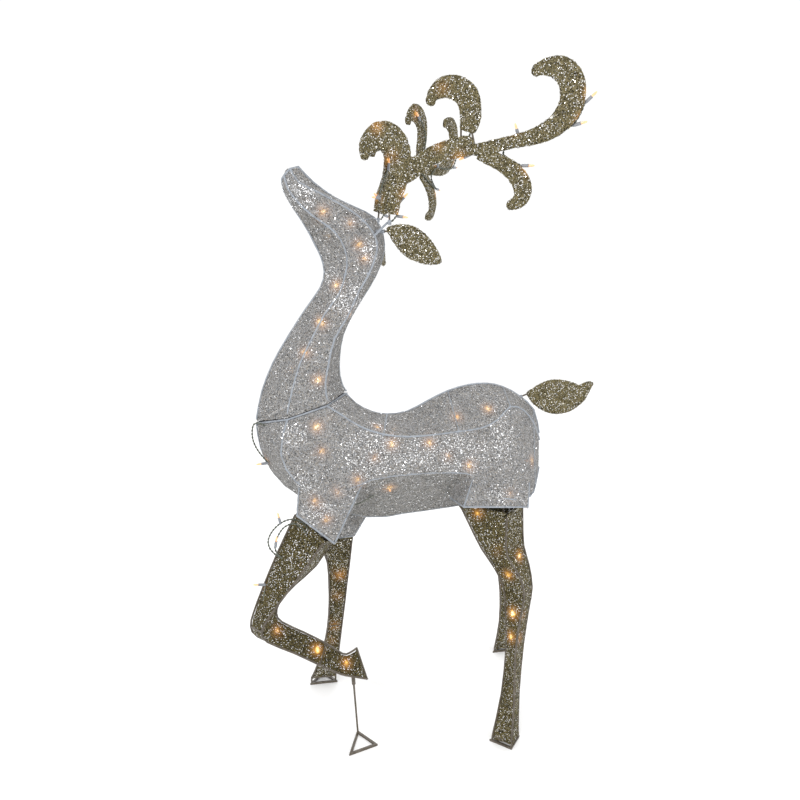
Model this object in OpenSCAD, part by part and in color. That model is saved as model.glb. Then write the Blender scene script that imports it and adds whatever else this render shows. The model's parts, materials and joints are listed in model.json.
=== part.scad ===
// Light up yard reindeer: wire frames with net covers that plug together.
// +Z is up, the head is toward -X, the animal's left side is toward -Y, and it stands on z = 0.

/* [Frame] */
// Diameter of the steel wire that the frames are welded from
wire_d = 5; // [4:0.5:5]
// Diameter of the pegs that join the sections
peg_d = 5; // [4:0.5:5]
// Outer diameter of the sleeves that take the pegs
sleeve_d = 9; // [8:0.5:10]
// Radial running clearance of every peg and pin in its sleeve
peg_clear = 0.08; // [0.03:0.01:0.1]
// Side of the square bar that the ground rings are bent from
foot_bar = 5; // [4:1:6]

/* [Covers] */
// Gap between a frame wire and the net over it
net_gap = 0.5; // [0.3:0.1:1]
// Thickness of the net with its glitter
net_t = 2; // [1.5:0.5:3]
// Gap between two sections where they meet
seam_gap = 8; // [6:1:10]

/* [Antlers and ears] */
// Turn of the left antler out from the body's length, in degrees
left_antler_turn = 34; // [20:1:45]
// Turn of the right antler out from the body's length, in degrees
right_antler_turn = 53; // [45:1:60]
// Lean of the left antler away from the right one, in degrees
left_antler_lean = 3; // [2:1:8]
// Lean of the right antler toward the left one, in degrees
right_antler_lean = 7; // [0:1:8]
// Thickness of an antler, ear or tail over its net
leaf_t = 8; // [7:0.5:10]

/* [Lights] */
// Diameter of the twisted lead
lead_d = 3; // [2.5:0.1:3.5]
// Diameter of a bulb holder
holder_d = 6.5; // [6:0.1:7]
// Length of a bulb holder
holder_l = 16; // [14:1:18]
// Diameter of a bulb
bulb_d = 4.6; // [4:0.1:5]
// Length of a bulb past its holder
bulb_l = 12; // [10:1:14]

/* [Hidden] */

white = "#c9cdd0";
pale_wire = "#b9c4cf";
gold = "#8a7d5c";
brown_wire = "#4d4230";
lead_colour = "#7f857b";
holder_colour = "#c8ccc8";
bulb_colour = "#ffc264";

// The antlers are spread unevenly, so the animal's middle plane is off the box's middle
mid_y = -41.2;
wire_r = wire_d / 2;
net_in = wire_r + net_gap;
net_out = net_in + net_t;
// Sides of a frame wire, and of the joints in it
facets = 5;
joint_facets = 4;

// ---- Rings: closed sections of the animal, each a list of frame corner points ----

// Six corners: top, upper side, lower side, bottom, and the two sides mirrored.
// [top x, z, upper x, z, half width, lower x, z, half width, bottom x, z]
function ring6(s) = [[s[0], 0, s[1]], [s[2], -s[4], s[3]], [s[5], -s[7], s[6]],
    [s[8], 0, s[9]], [s[5], s[7], s[6]], [s[2], s[4], s[3]]];
// Three corners of a left leg: front and rear on its flat inner face, and its outer ridge.
// [front x, z, rear x, z, ridge x, z, inner y, outer y]
function ring3(s) = [[s[0], -s[6], s[1]], [s[4], -s[7], s[5]], [s[2], -s[6], s[3]]];

body_rings = [for (s = [
    [-187, 820, -235, 804, 60, -322, 777, 62, -391, 757],
    [-164, 795, -205, 786, 72, -338, 705, 78, -384, 700],
    [-129, 775, -165, 760, 82, -306, 640, 86, -357, 638],
    [-91, 767, -112, 740, 86, -235, 610, 94, -292, 574],
    [-43, 772, -55, 733, 88, -140, 640, 95, -144, 516],
    [7, 796, 5, 735, 88, -45, 648, 96, -50, 519],
    [55, 818, 60, 740, 88, 45, 647, 98, 40, 526],
    [105, 831, 112, 745, 86, 100, 636, 102, 106, 533],
    [150, 833, 154, 761, 78, 142, 594, 112, 160, 546],
    [190, 824, 190, 787, 60, 188, 580, 118, 230, 562],
    [232, 801, 230, 773, 40, 232, 580, 100, 250, 566],
    [272, 764, 264, 736, 22, 261, 588, 56, 262, 570],
    [288, 705, 287, 690, 8, 286, 622, 14, 276, 590]]) ring6(s)];

neck_rings = [for (s = [
    [-192, 831, -234, 817, 58, -322, 789, 60, -391, 768],
    [-201, 862, -237, 852, 54, -310, 838, 56, -376, 831],
    [-201, 905, -228, 901, 50, -292, 895, 51, -350, 893],
    [-192, 955, -214, 951, 46, -266, 947, 47, -315, 952],
    [-169, 1002, -183, 1002, 43, -234, 1005, 44, -274, 1013],
    [-143, 1043, -160, 1052, 43, -202, 1048, 44, -240, 1060],
    [-117, 1085, -136, 1092, 45, -188, 1090, 46, -230, 1095],
    [-98, 1134, -119, 1140, 46, -184, 1124, 48, -237, 1128],
    [-99, 1175, -124, 1172, 46, -197, 1163, 48, -249, 1153],
    [-118, 1212, -147, 1202, 44, -223, 1190, 46, -262, 1180],
    [-160, 1233, -182, 1228, 40, -254, 1211, 42, -280, 1210],
    [-205, 1253, -234, 1256, 32, -283, 1238, 34, -297, 1236],
    [-250, 1284, -282, 1281, 23, -304, 1267, 24, -313, 1266],
    [-281, 1315, -298, 1309, 11, -311, 1295, 12, -316, 1289]]) ring6(s)];

hind_rings = [for (s = [
    [75, 552, 230, 546, 172, 540, 58, 114],
    [98, 500, 226, 500, 168, 496, 74, 122],
    [122, 450, 226, 450, 170, 448, 86, 130],
    [151, 405, 237, 405, 196, 404, 96, 138],
    [172, 358, 243, 352, 210, 354, 107, 145],
    [175, 300, 232, 300, 198, 300, 118, 154],
    [174, 220, 216, 220, 184, 220, 134, 168],
    [158, 110, 201, 110, 177, 110, 156, 190],
    [132, 16, 195, 16, 167, 16, 176, 208]]) ring3(s)];

front_rings = [for (s = [
    [-252, 430, -172, 434, -208, 428, 62, 112],
    [-234, 370, -178, 370, -203, 368, 72, 120],
    [-231, 300, -186, 300, -205, 300, 81, 126],
    [-231, 250, -191, 250, -208, 250, 88, 132],
    [-236, 180, -199, 180, -215, 180, 97, 140],
    [-249, 110, -207, 110, -226, 110, 106, 150],
    [-272, 40, -215, 40, -243, 40, 115, 160],
    [-281, 20, -217, 20, -248, 20, 117, 163]]) ring3(s)];

raised_rings = [for (s = [
    [-312, 552, -230, 483, -254, 503, 55, 112],
    [-355, 465, -268, 428, -298, 443, 60, 116],
    [-391, 383, -318, 386, -345, 382, 64, 115],
    [-413, 328, -353, 349, -378, 336, 67, 114],
    [-421, 294, -362, 320, -395, 303, 69, 114],
    [-407, 267, -350, 298, -383, 277, 70, 114],
    [-345, 230, -302, 268, -325, 244, 71, 115],
    [-280, 194, -250, 234, -268, 208, 72, 116],
    [-226, 162, -212, 203, -220, 179, 72, 116],
    [-203, 150, -195, 203, -196, 172, 72, 118],
    [-168, 141, -177, 210, -160, 165, 66, 124]]) ring3(s)];

// Slope of the raised leg's joint, and the middle of its rim
raised_tilt = 40;
raised_rim = [-272, -76, 519];
// How far back the right hind foot stands from the left one
hind_stride = 124;
hind_top = 552;

// Leans a leg back: no shift at its top, all of the stride at the ground
function strode(p, stride) = [p[0] + stride * (hind_top - p[2]) / hind_top, p[1], p[2]];
function stride_rings(rs, stride) = [for (r = rs) [for (p = r) strode(p, stride)]];

// ---- Curves and lofts ----

function spline(a, b, c, d, t) = 0.5 * (2 * b + (c - a) * t + (2 * a - 5 * b + 4 * c - d) * t * t
    + (3 * b - a - 3 * c + d) * t * t * t);
function at(v, i) = v[max(0, min(len(v) - 1, i))];
// A smooth line through points, with n steps from each to the next
function smooth_line(p, n) = concat([for (i = [0:len(p) - 2], j = [0:n - 1])
    spline(at(p, i - 1), p[i], p[i + 1], at(p, i + 2), j / n)], [p[len(p) - 1]]);
// A smooth closed line through points in the plane
function smooth_loop(p, n) = [for (i = [0:len(p) - 1], j = [0:n - 1]) let (m = len(p))
    spline(p[(i + m - 1) % m], p[i], p[(i + 1) % m], p[(i + 2) % m], j / n)];
// Rings in between the given ones
function smooth_rings(rs, n) = let (tracks = [for (k = [0:len(rs[0]) - 1])
        smooth_line([for (r = rs) r[k]], n)])
    [for (i = [0:len(tracks[0]) - 1]) [for (t = tracks) t[i]]];

function unit(v) = v / norm(v);
function sum_of(v, i = 0) = i >= len(v) - 1 ? v[i] : v[i] + sum_of(v, i + 1);
function middle(r) = sum_of(r) / len(r);
function ring_axis(r) = let (m = middle(r)) unit(sum_of([for (i = [0:len(r) - 1])
    cross(r[i] - m, r[(i + 1) % len(r)] - m)]));
// A ring pushed outward by d, with each corner cut flat across
function grown(r, d) = let (n = ring_axis(r), m = len(r)) [for (i = [0:m - 1], side = [0, 1])
    let (a = r[(i + m - 1 + side) % m], b = r[(i + side) % m]) r[i] + d * unit(cross(b - a, n))];

function ring_faces(n, i, base, out) = [for (k = [0:n - 1]) let (
        a = base + i * n + k, b = base + i * n + (k + 1) % n, c = b + n, d = a + n)
    each out ? [[a, d, c], [a, c, b]] : [[a, c, d], [a, b, c]]];
function flipped(f) = [for (t = f) [t[2], t[1], t[0]]];
function fan(n, base) = [for (k = [1:n - 2]) [base, base + k, base + k + 1]];

// True when the ring runs counterclockwise about the direction that the loft goes in
function forward(rs) = ring_axis(rs[0]) * (middle(rs[1]) - middle(rs[0])) > 0;

module faced(points, faces, keep) {
    polyhedron(points = points, faces = keep ? faces : flipped(faces), convexity = 6);
}

// A solid through grown rings, closed at both ends
module loft(rs, d) {
    g = [for (r = rs) grown(r, d)];
    n = len(g[0]);
    last = (len(g) - 1) * n;
    faced([for (r = g) each r], concat(
        [for (i = [0:len(g) - 2]) each ring_faces(n, i, 0, true)],
        fan(n, 0), flipped(fan(n, last))), forward(rs));
}

// A net tube round rings, open at both ends
module net_tube(rs) {
    outer = [for (r = rs) grown(r, net_out)];
    inner = [for (r = rs) grown(r, net_in)];
    n = len(outer[0]);
    m = len(outer) * n;
    last = m - n;
    faced([each for (r = outer) r, each for (r = inner) r], concat(
        [for (i = [0:len(rs) - 2]) each ring_faces(n, i, 0, true)],
        [for (i = [0:len(rs) - 2]) each ring_faces(n, i, m, false)],
        [for (k = [0:n - 1]) let (j = (k + 1) % n) each [[k, j, m + j], [k, m + j, m + k]]],
        [for (k = [0:n - 1]) let (j = (k + 1) % n)
            each [[last + k, m + last + j, last + j], [last + k, m + last + k, m + last + j]]]),
        forward(rs));
}

function across(t) = let (up = abs(t[1]) < 0.8 ? [0, 1, 0] : [0, 0, 1]) unit(cross(up, t));
function heading(p, i) = unit(at(p, i + 1) - at(p, i - 1));
// A round wire or lead along points
module wire(p, r, sides = facets) {
    m = len(p);
    rings = [for (i = [0:m - 1]) let (t = heading(p, i), u = across(t), v = cross(t, u))
        [for (k = [0:sides - 1]) p[i] + r * (cos(360 * k / sides) * u + sin(360 * k / sides) * v)]];
    polyhedron(points = [for (g = rings) each g], convexity = 8, faces = concat(
        [for (i = [0:m - 2]) each ring_faces(sides, i, 0, true)],
        fan(sides, 0), flipped(fan(sides, (m - 1) * sides))));
}

module ball() { sphere(r = wire_r, $fn = joint_facets); }
module bar(a, b) { hull() { translate(a) ball(); translate(b) ball(); } }
// A point on a sleeve's side, nearest to a corner; the axis is the sleeve's
function beside(corner, p, axis, r = sleeve_d / 2) = let (v = corner - p, w = v - (v * axis) * axis)
    p + (r + wire_r / 2) * unit(w);
module hoop(r) { for (k = [0:len(r) - 1]) bar(r[k], r[(k + 1) % len(r)]); }
// Wires along every corner of the rings, and hoops round the chosen ones
module cage(rs, steps, hoops, first = 0) {
    for (k = [first:len(rs[0]) - 1]) long_wire(rs, steps, k);
    for (i = hoops) hoop(rs[i]);
}
module long_wire(rs, steps, k) { wire([for (r = smooth_rings(rs, steps)) r[k]], wire_r); }

module mirrored(right) { mirror([0, right ? 1 : 0, 0]) children(); }
module placed() { translate([0, mid_y, 0]) children(); }

// ---- Pegs and sleeves ----

peg_l = 40;
peg_r = peg_d / 2;
sleeve_wall_in = peg_r + peg_clear;

module peg(r = peg_r, l = peg_l) { cylinder(r = r, h = l, $fn = 48); }
module sleeve(l, r_in = sleeve_wall_in, r_out = sleeve_d / 2) {
    difference() {
        cylinder(r = r_out, h = l, $fn = 48);
        translate([0, 0, -1]) cylinder(r = r_in, h = l + 2, $fn = 48);
    }
}

// Where the pegs stand, as [x, y, height of the peg's foot]
neck_peg_spots = [[-312, -44, 783], [-248, -44, 803], [-312, 44, 783], [-248, 44, 803]];
hind_peg_spots = [[98, -72, hind_top], [196, -72, hind_top], [168, -98, hind_top]];
front_peg_spots = [[-238, -72, 430], [-186, -72, 430], [-208, -95, 430]];
// In the raised leg's own slanted frame
raised_peg_spots = [[-34, 12, 0], [34, 12, 0], [14, -20, 0]];
peg_sink = 14;

module at_raised_rim() { translate(raised_rim) rotate([0, raised_tilt, 0]) children(); }
function raised_point(p) = raised_rim + [p[0] * cos(raised_tilt) + p[2] * sin(raised_tilt), p[1],
    -p[0] * sin(raised_tilt) + p[2] * cos(raised_tilt)];

module leg_pegs(spots) { for (p = spots) translate(p - [0, 0, peg_sink]) peg(l = peg_l + peg_sink); }

// ---- Body ----

// Corners of the four stubs that the legs plug into, top ring and rim:
// front inner, rear inner, rear outer, front outer
left_front_stub = [[[-300, -20, 612], [-140, -20, 620], [-150, -90, 655], [-298, -78, 650]],
    [[-298, -44, 567], [-220, -44, 496], [-228, -108, 500], [-308, -108, 571]]];
right_front_stub = [[[-310, -20, 630], [-108, -20, 566], [-118, -90, 620], [-296, -82, 650]],
    [[-264, -46, 444], [-168, -46, 450], [-172, -118, 450], [-262, -118, 442]]];
hind_stub = [[[50, -14, 620], [244, -14, 610], [230, -96, 610], [96, -100, 640]],
    [[54, -46, 568], [230, -46, 564], [219, -122, 562], [66, -122, 572]]];

module stub(rings, d) {
    hull() for (r = rings) for (p = r) translate(p) sphere(r = d, $fn = joint_facets);
}
module stub_mouth(rings, d, reach) {
    a = middle(rings[0]);
    out = unit(middle(rings[1]) - a);
    hull() for (p = rings[1]) for (s = [0, reach]) translate(p + s * out) sphere(r = d, $fn = joint_facets);
}
module stubs(d) {
    stub(left_front_stub, d);
    mirrored(true) stub(right_front_stub, d);
    for (right = [false, true]) mirrored(right) stub(hind_stub, d);
}
mouth_reach = 20;
module stub_mouths(d) {
    stub_mouth(left_front_stub, d, mouth_reach);
    mirrored(true) stub_mouth(right_front_stub, d, mouth_reach);
    for (right = [false, true]) mirrored(right) stub_mouth(hind_stub, d, mouth_reach);
}

body_steps = 2;
function extended(rs, by) = let (out = unit(middle(rs[0]) - middle(rs[1])))
    concat([[for (p = rs[0]) p + by * out]], rs);

module body_cover() placed() color(white) difference() {
    union() {
        loft(smooth_rings(body_rings, body_steps), net_out);
        stubs(net_out);
    }
    loft(extended(smooth_rings(body_rings, body_steps), mouth_reach), net_in);
    stubs(net_in);
    stub_mouths(net_in);
    at_tail() sleeve_way();
}

module stub_wires(rings) {
    hoop(rings[1]);
    for (k = [0:3]) bar(rings[0][k], rings[1][k]);
}
// Short arms from a rim's corner to the sleeve next to it
sleeve_arm_at = 20;
module sleeve_arm(corner, spot, axis) { bar(corner, beside(corner, spot + sleeve_arm_at * axis, axis)); }
module body_frame() placed() color(pale_wire) union() {
    cage(body_rings, 2, [0, 3, 6, 9, 11], 1);
    difference() {
        long_wire(body_rings, 2, 0);
        at_tail() sleeve_way();
    }
    stub_wires(left_front_stub);
    mirrored(true) stub_wires(right_front_stub);
    for (right = [false, true]) mirrored(right) {
        stub_wires(hind_stub);
        for (j = [0:2]) sleeve_arm(hind_stub[1][[0, 1, 3][j]], hind_peg_spots[j], [0, 0, 1]);
    }
    mirrored(true) for (j = [0:2])
        sleeve_arm(right_front_stub[1][[0, 1, 3][j]], front_peg_spots[j], [0, 0, 1]);
    for (j = [0:2]) sleeve_arm(left_front_stub[1][[0, 1, 3][j]], raised_point(raised_peg_spots[j]),
        unit(raised_point([0, 0, 1]) - raised_rim));
    for (j = [0:3]) sleeve_arm(body_rings[0][[2, 1, 4, 5][j]], neck_peg_spots[j], [0, 0, -1]);
}

sleeve_l = 36;
module neck_sleeves() placed() color(pale_wire) for (p = neck_peg_spots)
    translate(p - [0, 0, seam_gap + sleeve_l]) sleeve(sleeve_l);
module leg_sleeves() placed() color(pale_wire) {
    for (right = [false, true]) mirrored(right) for (p = hind_peg_spots)
        translate(p + [0, 0, seam_gap]) sleeve(sleeve_l);
    mirrored(true) for (p = front_peg_spots) translate(p + [0, 0, seam_gap]) sleeve(sleeve_l);
    at_raised_rim() for (p = raised_peg_spots) translate(p + [0, 0, seam_gap]) sleeve(sleeve_l);
}

// ---- Tail ----

tail_root = [246, 0, 801];
tail_tilt = 20;
pin_r = 2;
pin_l = 30;
pin_sleeve_r = 4;
// Room for a pin's sleeve through a wire or a net
module sleeve_way() {
    translate([0, 0, -pin_l - 8]) cylinder(r = pin_sleeve_r + net_gap, h = pin_l + 12, $fn = 8);
}
module at_tail() { translate(tail_root) rotate([0, 90 - tail_tilt, 0]) children(); }
module tail_sleeve() placed() color(pale_wire) at_tail() pin_sleeve();
// Outline in the x-z plane, from the root round the top to the tip and back
tail_outline = [[7, 5], [22, 18], [46, 31], [72, 37], [100, 35], [130, 27], [142, 22], [157, 28],
    [171, 29], [177, 22], [168, 0], [152, -24], [124, -44], [90, -51], [60, -46], [35, -32], [17, -16]];

leaf_wire = 4;
pouch_wall = (leaf_t - leaf_wire) / 2 - net_gap;
leaf_steps = 3;
// A flat plate in the x-z plane, as thick as t, centred on y = 0
module plate(t) { rotate([90, 0, 0]) translate([0, 0, -t / 2]) linear_extrude(t) children(); }
// A closed outline moved inward by d, point by point
function inset(o, d) = let (m = len(o)) [for (i = [0:m - 1])
    let (t = unit(o[(i + 1) % m] - o[(i + m - 1) % m])) o[i] + d * [t[1], -t[0]]];
// The outlines run clockwise, so their inside is on the right
module leaf_pouch(o) {
    difference() {
        plate(leaf_t) polygon(o);
        plate(leaf_wire + 2 * net_gap) polygon(inset(o, pouch_wall));
    }
}
// The wire outline inside a pouch, from the outline's own few points
module leaf_wires(o) {
    difference() {
        plate(leaf_wire) polygon(smooth_loop(inset(o, pouch_wall + net_gap), leaf_steps));
        plate(leaf_wire + 2) polygon(smooth_loop(inset(o, pouch_wall + net_gap + leaf_wire), leaf_steps));
    }
}
leaf_pin_in = 16;
// A pin along z whose top is welded into the leaf's root
module leaf_pin(l = pin_l) { translate([0, 0, -l]) peg(pin_r, l + leaf_pin_in); }
module leaf_pin_hole() {
    translate([0, 0, -pin_l]) cylinder(r = pin_r + net_gap, h = pin_l + leaf_pin_in + 2, $fn = 48);
}
module tail_cover() placed() color(gold) difference() {
    translate(tail_root) leaf_pouch(smooth_loop(tail_outline, leaf_steps));
    at_tail() leaf_pin_hole();
}
module tail_frame() placed() color(brown_wire) translate(tail_root) leaf_wires(tail_outline);
module tail_pin() placed() color(brown_wire) at_tail() leaf_pin();

// ---- Neck and head ----

neck_steps = 2;
neck_open = smooth_rings(neck_rings, neck_steps);
nose_cap = [for (p = neck_open[len(neck_open) - 1]) let (m = middle(neck_open[len(neck_open) - 1]))
    m + 0.05 * (p - m) + 10 * unit(m - middle(neck_open[len(neck_open) - 3]))];
module neck_cover() placed() color(white) difference() {
    net_tube(concat(neck_open, [nose_cap]));
    at_left_ear() ear_pin_place() sleeve_way();
    at_right_ear() ear_pin_place() sleeve_way();
}
module neck_frame() placed() color(pale_wire) union() {
    cage(neck_rings, 2, [0, 3, 6, 9, 13]);
    for (j = [0:3]) bar(neck_rings[0][[2, 1, 4, 5][j]], neck_peg_spots[j] + [0, 0, 6]);
    // Arms out to the sleeves of the ears and antlers
    for (right = [false, true]) {
        corner = right ? 5 : 1;
        hull() {
            translate(neck_rings[8][corner]) ball();
            at_either_ear(right) ear_pin_place() translate([pin_sleeve_r + 1, 0, -pin_l]) ball();
        }
        hull() {
            translate(neck_rings[right ? 9 : 8][corner]) ball();
            at_either_antler(right) translate([antler_pin_x - pin_sleeve_r - 1, 0, -11]) ball();
        }
    }
}
module neck_pegs() placed() color(pale_wire) for (p = neck_peg_spots)
    translate(p - [0, 0, peg_l]) peg(l = peg_l + 10);

// Spring tongue over the back of the seam
catch_root = [-204, 0, 856];
catch_l = 34;
module neck_catch() placed() color(pale_wire) translate(catch_root) rotate([0, 150, 0]) {
    cylinder(r = 1.5, h = catch_l, $fn = 24);
    translate([0, 0, catch_l]) sphere(r = 2.5, $fn = 24);
}

// ---- Antlers ----

left_antler_root = [-105, -40, 1210];
right_antler_root = [-110, 41, 1222];
antler_pin_x = 16;
antler_pin_l = 16;
antler_sleeve_l = 10;
module at_antler(root, turn, lean, right) {
    translate(root) mirrored(right) rotate([0, 0, -turn]) rotate([-lean, 0, 0]) children();
}
module at_left_antler() { at_antler(left_antler_root, left_antler_turn, -left_antler_lean, false) children(); }
module at_right_antler() { at_antler(right_antler_root, right_antler_turn, right_antler_lean, true) children(); }
module at_either_antler(right) { if (right) at_right_antler() children(); else at_left_antler() children(); }

// Each piece is a middle line with a width at every point: [x, z, width]
brow_tine = [[16, 6, 40], [20, 34, 47], [40, 79, 43], [44, 127, 50], [25, 158, 56], [-7, 166, 56],
    [-33, 145, 41], [-38, 131, 25]];
beam = [[43, 77, 33], [67, 91, 39], [112, 117, 37], [154, 127, 39], [187, 131, 41]];
long_tine = [[195, 122, 19], [231, 125, 25], [283, 132, 25], [327, 139, 32], [363, 154, 40],
    [386, 179, 46], [393, 206, 48], [387, 234, 48], [367, 253, 42], [343, 258, 32], [327, 254, 23]];
drop_tine = [[212, 114, 21], [242, 103, 29], [272, 87, 33], [296, 64, 37], [304, 42, 37],
    [298, 23, 32], [283, 15, 22]];
upper_tine = [[190, 157, 33], [196, 177, 44], [196, 200, 46], [188, 225, 48], [164, 241, 46],
    [138, 243, 40], [119, 232, 30], [114, 222, 21]];
tines = [brow_tine, beam, long_tine, drop_tine, upper_tine];
// Wires that tie the upper tine to the beam: [x, z, slope of each in degrees]
tie_wires = [[177, 139, 0], [204, 138, -14]];
tie_l = 26;
tip_steps = 6;

// Outline of a piece, with a round tip and a flat root
function tine_outline(tine, trim, n) = let (c = smooth_line(tine, n), m = len(c) - 1,
    dir = [for (i = [0:m]) let (d = at(c, i + 1) - at(c, i - 1)) unit([d[0], d[1]])],
    side = [for (i = [0:m]) [-dir[i][1], dir[i][0]] * (c[i][2] / 2 - trim)],
    mid = [for (p = c) [p[0], p[1]]])
    concat([for (i = [0:m]) mid[i] + side[i] + (i == 0 ? trim * dir[0] : [0, 0])],
        [for (k = [1:tip_steps - 1]) let (a = 180 * k / tip_steps)
            mid[m] + cos(a) * side[m] + sin(a) * norm(side[m]) * dir[m]],
        [for (i = [m:-1:0]) mid[i] - side[i] + (i == 0 ? trim * dir[0] : [0, 0])]);

// All five pieces as flat plates, trimmed all round
module tine_plates(trim, t) { plate(t) for (tine = tines) polygon(tine_outline(tine, trim, 2)); }
module antler_cover() {
    difference() {
        tine_plates(0, leaf_t);
        tine_plates(pouch_wall, leaf_wire + 2 * net_gap);
        translate([antler_pin_x, 0, 0]) leaf_pin_hole();
    }
}
module antler_frame() {
    for (tine = tines) difference() {
        plate(leaf_wire) polygon(tine_outline(tine, pouch_wall + net_gap, 2));
        plate(leaf_wire + 2) polygon(tine_outline(tine, pouch_wall + net_gap + leaf_wire, 2));
    }
    translate([antler_pin_x, 0, 0]) leaf_pin(antler_pin_l);
    for (t = tie_wires) translate([t[0], 0, t[1]]) rotate([0, t[2], 0])
        cylinder(r = leaf_wire / 2, h = tie_l, $fn = 24);
}

// ---- Ears ----

left_ear_root = [-108, -36, 1187];
right_ear_root = [-108, 36, 1187];
left_ear_turn = 30;
right_ear_turn = 74;
ear_outline = [[16, 3], [40, 9], [68, 6], [89, -3], [111, -22], [127, -44], [138, -73],
    [107, -78], [73, -69], [48, -54], [30, -33], [16, -10]];
module at_ear(root, turn, right) { translate(root) mirrored(right) rotate([0, 0, -turn]) children(); }
module at_left_ear() { at_ear(left_ear_root, left_ear_turn, false) children(); }
module at_right_ear() { at_ear(right_ear_root, right_ear_turn, true) children(); }
module at_either_ear(right) { if (right) at_right_ear() children(); else at_left_ear() children(); }
ear_pin_at = [14, 0, -6];
module ear_pin_place() { translate(ear_pin_at) rotate([0, 90, 0]) children(); }
module ear_cover() {
    difference() {
        leaf_pouch(smooth_loop(ear_outline, leaf_steps));
        ear_pin_place() leaf_pin_hole();
    }
}
module ear_sleeves() placed() color(pale_wire) {
    at_left_ear() ear_pin_place() pin_sleeve();
    at_right_ear() ear_pin_place() pin_sleeve();
}
module pin_sleeve(l = pin_l) {
    translate([0, 0, -l - 6]) sleeve(l, pin_r + peg_clear, pin_sleeve_r);
}
module antler_sleeves() placed() color(pale_wire) {
    at_left_antler() translate([antler_pin_x, 0, 0]) pin_sleeve(antler_sleeve_l);
    at_right_antler() translate([antler_pin_x, 0, 0]) pin_sleeve(antler_sleeve_l);
}

module left_antler_frame() placed() color(brown_wire) at_left_antler() antler_frame();
module left_antler_cover() placed() color(gold) at_left_antler() antler_cover();
module right_antler_frame() placed() color(brown_wire) at_right_antler() antler_frame();
module right_antler_cover() placed() color(gold) at_right_antler() antler_cover();
module left_ear_frame() placed() color(brown_wire) at_left_ear() leaf_wires(ear_outline);
module left_ear_pin() placed() color(brown_wire) at_left_ear() ear_pin_place() leaf_pin();
module left_ear_cover() placed() color(gold) at_left_ear() ear_cover();
module right_ear_frame() placed() color(brown_wire) at_right_ear() leaf_wires(ear_outline);
module right_ear_pin() placed() color(brown_wire) at_right_ear() ear_pin_place() leaf_pin();
module right_ear_cover() placed() color(gold) at_right_ear() ear_cover();

// ---- Legs ----

function dropped(r, z) = [for (p = r) [p[0], p[1], z]];
foot_mid = foot_bar / 2;
leg_steps = 2;

module leg_frame(rings, spots) {
    cage(concat(rings, [dropped(rings[len(rings) - 1], foot_mid + 1)]), leg_steps,
        [0, floor(len(rings) / 2), len(rings) - 1]);
    for (j = [0:2]) bar(rings[0][[0, 2, 1][j]], spots[j] - [0, 0, peg_sink - 4]);
}
// Centre of the circle that touches a triangle's three sides
function incentre(t) = let (a = norm(t[1] - t[2]), b = norm(t[2] - t[0]), c = norm(t[0] - t[1]))
    (a * t[0] + b * t[1] + c * t[2]) / (a + b + c);
function inradius(t) = norm(cross(t[1] - t[0], t[2] - t[0]))
    / (norm(t[1] - t[2]) + norm(t[2] - t[0]) + norm(t[0] - t[1]));
// A triangle's sides moved outward by d
function triangle_grown(t, d) = let (m = incentre(t)) [for (p = t) m + (p - m) * (1 + d / inradius(t))];
function flat(t) = [for (p = t) [p[0], p[1]]];
module foot_triangle(t) {
    linear_extrude(foot_bar) difference() {
        polygon(flat(triangle_grown(t, foot_mid)));
        polygon(flat(triangle_grown(t, -foot_mid)));
    }
}

left_hind_rings = hind_rings;
right_hind_rings = stride_rings(hind_rings, hind_stride);
function ring_foot(rings) = dropped(rings[len(rings) - 1], 0);

module left_hind_cover() placed() color(gold) net_tube(smooth_rings(left_hind_rings, leg_steps));
module right_hind_cover() placed() color(gold) mirrored(true)
    net_tube(smooth_rings(right_hind_rings, leg_steps));
module right_front_cover() placed() color(gold) mirrored(true)
    net_tube(smooth_rings(front_rings, leg_steps));
module left_front_cover() placed() color(gold) difference() {
    net_tube(smooth_rings(raised_rings, leg_steps));
    at_rod() translate([0, 0, rod_sleeve_z - 8]) cylinder(r = 4.5 + net_gap, h = rod_sleeve_l, $fn = 8);
}

module left_hind_frame() placed() color(brown_wire) leg_frame(left_hind_rings, hind_peg_spots);
module right_hind_frame() placed() color(brown_wire) mirrored(true)
    leg_frame(right_hind_rings, hind_peg_spots);
module right_front_frame() placed() color(brown_wire) mirrored(true)
    leg_frame(front_rings, front_peg_spots);
module left_front_frame() placed() color(brown_wire) union() {
    cage(raised_rings, leg_steps, [0, 4, 7, len(raised_rings) - 1]);
    for (j = [0:2]) bar(raised_rings[0][[0, 2, 1][j]],
        raised_point(raised_peg_spots[j] - [0, 0, peg_sink - 4]));
}

module left_hind_pegs() placed() color(brown_wire) leg_pegs(hind_peg_spots);
module right_hind_pegs() placed() color(brown_wire) mirrored(true) leg_pegs(hind_peg_spots);
module right_front_pegs() placed() color(brown_wire) mirrored(true) leg_pegs(front_peg_spots);
module left_front_pegs() placed() color(brown_wire) at_raised_rim() leg_pegs(raised_peg_spots);

module left_hind_foot_ring() placed() color(brown_wire) foot_triangle(ring_foot(left_hind_rings));
module right_hind_foot_ring() placed() color(brown_wire) mirrored(true)
    foot_triangle(ring_foot(right_hind_rings));
module right_front_foot_ring() placed() color(brown_wire) mirrored(true)
    foot_triangle(ring_foot(front_rings));

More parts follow.
